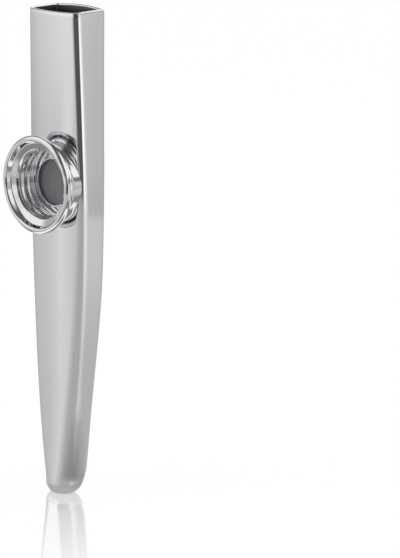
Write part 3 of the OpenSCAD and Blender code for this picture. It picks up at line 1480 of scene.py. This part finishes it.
    def passage(
        self,
        tree: bpy.types.NodeTree,
        measure: bpy.types.NodeSocket,
        limits: tuple[float, float],
        first: bpy.types.NodeSocket | tuple[float, ...],
        second: bpy.types.NodeSocket | tuple[float, ...],
    ) -> bpy.types.NodeSocket:
        """Passes from one tone to another as a measure goes from its lower limit to its upper.

        Args:
            tree: the node tree.
            measure: the output that holds the measure.
            limits: the lower and the upper limit.
            first: the tone up to the lower limit, as an output or a colour.
            second: the tone from the upper limit on, likewise.

        Returns:
            The mixed tone.
        """
        share = add_node(
            tree,
            "ShaderNodeMapRange",
            inputs={"Value": measure, "From Min": limits[0], "From Max": limits[1]},
        )
        mixed = add_node(
            tree, "ShaderNodeMix", {"data_type": "RGBA"}, {0: share.outputs[0], 6: first, 7: second}
        )
        return mixed.outputs[2]

    def make_world(self) -> None:
        """Makes the room: white to the camera, toned to reflections, soft to all else."""
        world = bpy.data.worlds.new("studio")
        bpy.context.scene.world = world
        world.use_nodes = True
        tree = world.node_tree
        tree.nodes.clear()
        way = add_node(tree, "ShaderNodeTexCoord").outputs["Generated"]
        rise = add_node(tree, "ShaderNodeSeparateXYZ", inputs={0: way}).outputs[2]
        tone = self.turn_ramp(tree, way, self.below)
        for rises, tones in (
            (self.horizon_rises, self.horizon),
            (self.edge_rises, self.edge),
            (self.above_rises, self.above),
            (self.ceiling_rises, self.ceiling),
            (self.zenith_rises, self.zenith),
        ):
            tone = self.passage(tree, rise, rises, tone, self.turn_ramp(tree, way, tones))
        room = add_node(tree, "ShaderNodeBackground", inputs={0: tone})
        soft = add_node(tree, "ShaderNodeBackground", inputs={0: to_linear(WHITE), 1: self.soft_level})
        white = add_node(tree, "ShaderNodeBackground", inputs={0: to_linear(WHITE)})
        rays = add_node(tree, "ShaderNodeLightPath")
        mirrored = add_node(
            tree,
            "ShaderNodeMath",
            {"operation": "MAXIMUM"},
            {0: rays.outputs["Is Glossy Ray"], 1: rays.outputs["Is Transmission Ray"]},
        )
        seen = add_node(
            tree,
            "ShaderNodeMixShader",
            inputs={0: mirrored.outputs[0], 1: soft.outputs[0], 2: room.outputs[0]},
        )
        shown = add_node(
            tree,
            "ShaderNodeMixShader",
            inputs={0: rays.outputs["Is Camera Ray"], 1: seen.outputs[0], 2: white.outputs[0]},
        )
        add_node(tree, "ShaderNodeOutputWorld", inputs={0: shown.outputs[0]})

    def make_floor(self) -> None:
        """Makes the floor that the camera sees: white, faintly mirroring the foot."""
        material, tree, place = new_finish("white_floor")
        away = add_node(tree, "ShaderNodeVectorMath", {"operation": "LENGTH"}, {0: place})
        mirror = add_node(
            tree,
            "ShaderNodeMapRange",
            inputs={
                "Value": away.outputs["Value"],
                "From Max": self.mirror_fade_mm * MM,
                "To Min": self.mirror_share,
                "To Max": 0.0,
            },
        )
        plain = add_node(
            tree,
            "ShaderNodeMath",
            {"operation": "SUBTRACT"},
            {0: 1 - self.shadow_share, 1: mirror.outputs[0]},
        )
        glow = add_node(tree, "ShaderNodeEmission", inputs={0: to_linear(WHITE), 1: plain.outputs[0]})
        shade_colour = grey(self.shadow_share / self.soft_level)
        shade = add_node(tree, "ShaderNodeBsdfDiffuse", inputs={0: shade_colour})
        level = add_node(tree, "ShaderNodeCombineXYZ", inputs={k: mirror.outputs[0] for k in range(3)})
        gloss = add_node(
            tree,
            "ShaderNodeBsdfAnisotropic",
            inputs={"Color": level.outputs[0], "Roughness": self.mirror_roughness},
        )
        lit = add_node(tree, "ShaderNodeAddShader", inputs={0: glow.outputs[0], 1: shade.outputs[0]})
        seen = add_node(tree, "ShaderNodeAddShader", inputs={0: lit.outputs[0], 1: gloss.outputs[0]})
        bare = add_node(tree, "ShaderNodeBsdfDiffuse", inputs={0: to_linear(self.floor_colour)})
        rays = add_node(tree, "ShaderNodeLightPath")
        out = add_node(
            tree,
            "ShaderNodeMixShader",
            inputs={0: rays.outputs["Is Camera Ray"], 1: bare.outputs[0], 2: seen.outputs[0]},
        )
        add_node(tree, "ShaderNodeOutputMaterial", inputs={0: out.outputs[0]})
        floor = self.sheet("floor", radius=self.floor_w_mm / 2, sides=4, material=material)
        floor.visible_glossy = False

    def make_table(self) -> None:
        """Makes the table's top as reflections see it."""
        material, tree, place = new_finish("table_tones")
        length = add_node(tree, "ShaderNodeVectorMath", {"operation": "LENGTH"}, {0: place})
        away = length.outputs["Value"]
        edge_on = add_node(tree, "ShaderNodeLayerWeight").outputs["Facing"]
        near = self.turn_ramp(tree, place, self.near_table)
        far = self.turn_ramp(tree, place, self.far_table)
        low = self.passage(tree, away, in_metres(self.table_passage_mm), near, far)
        ring_grey = grey(self.ring_grey)
        white = to_linear(WHITE)
        ring = self.passage(tree, away, in_metres(self.ring_inner_mm), ring_grey, white)
        steep = self.passage(tree, away, in_metres(self.ring_outer_mm), ring, ring_grey)
        clear = self.passage(tree, edge_on, self.gloss_passage, steep, low)
        shade = grey(self.foot_shade)
        shaded = self.passage(tree, away, in_metres(self.foot_shade_mm), shade, clear)
        glow = add_node(tree, "ShaderNodeEmission", inputs={0: shaded})
        add_node(tree, "ShaderNodeOutputMaterial", inputs={"Surface": glow.outputs[0]})
        table = self.sheet("table_top", radius=self.table_r_mm, sides=TURN_STEPS, material=material)
        table.location.z = -self.table_drop_mm * MM
        table.visible_camera = False
        table.visible_diffuse = False
        table.visible_shadow = False
        table.visible_transmission = False

    def sheet(self, name: str, radius: float, sides: int, material: bpy.types.Material) -> bpy.types.Object:
        """Lays a flat sheet on the ground.

        Args:
            name: the sheet's name.
            radius: its radius, in millimetres.
            sides: how many sides it has.
            material: its material.

        Returns:
            The sheet.
        """
        bm = bmesh.new()
        bmesh.ops.create_circle(bm, cap_ends=True, segments=sides, radius=radius)
        sheet = mesh_object(name, bm, (material,))
        return sheet

    def make_lamp(self) -> None:
        """Hangs a big soft lamp over the left shoulder of the object."""
        data = bpy.data.lights.new("soft_lamp", "AREA")
        data.shape = "DISK"
        data.size = self.lamp_size_m
        data.energy = self.lamp_w
        lamp = add_object("soft_lamp", data)
        place = Vector(self.lamp_place_m)
        lamp.matrix_world = Matrix.Translation(place) @ place.to_track_quat("Z", "Y").to_matrix().to_4x4()
        lamp.visible_glossy = False


def main() -> None:
    """Builds the kazoo's pieces in order, then the studio."""
    logging.basicConfig(level=logging.INFO, format="%(name)s: %(message)s")
    bpy.context.scene.view_settings.view_transform = "Standard"
    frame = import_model()
    log.info("frame with nodes %s", ", ".join(sorted(frame["nodes"])))

    tube_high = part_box("body_tube")[1]
    cap_low, cap_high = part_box("turret_cap")
    ring_low, ring_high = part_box("membrane_ring")
    tube = Tube(length=tube_high.z / MM, axis_y=cap_low.y / MM + TURRET_H)
    seat = Seat(axis_y=tube.axis_y, turret_z=(cap_low.z + cap_high.z) / 2 / MM)
    metal = PolishedAluminium().make()
    spun_metal = PolishedAluminium(
        name="spun_and_polished_aluminium",
        roughness_low=0.025,
        roughness_high=0.045,
        line_depth_mm=0.00005,
        wave_depth_mm=0.001,
    ).make()
    tube.make(seat, metal, DrawnAluminiumWithPaintedShade().make())
    Collar(seat).make(spun_metal)
    SolderFillet(seat, tube).make(spun_metal)
    membrane = Membrane(seat, outer_r=(ring_high.x - ring_low.x) / 2 / MM)
    membrane.make_ring(StampedPolypropylene().make())
    membrane.make_film(WaxedFilmWithPaintedShade().make())
    Cap(seat, rim_r=(cap_high.x - cap_low.x) / 2 / MM).make(spun_metal)

    studio = Studio()
    studio.make_world()
    studio.make_floor()
    studio.make_table()
    studio.make_lamp()
    PhotoCamera(aim=Vector((0, tube.axis_y, tube.length / 2))).make()


if __name__ == "__main__":
    main()
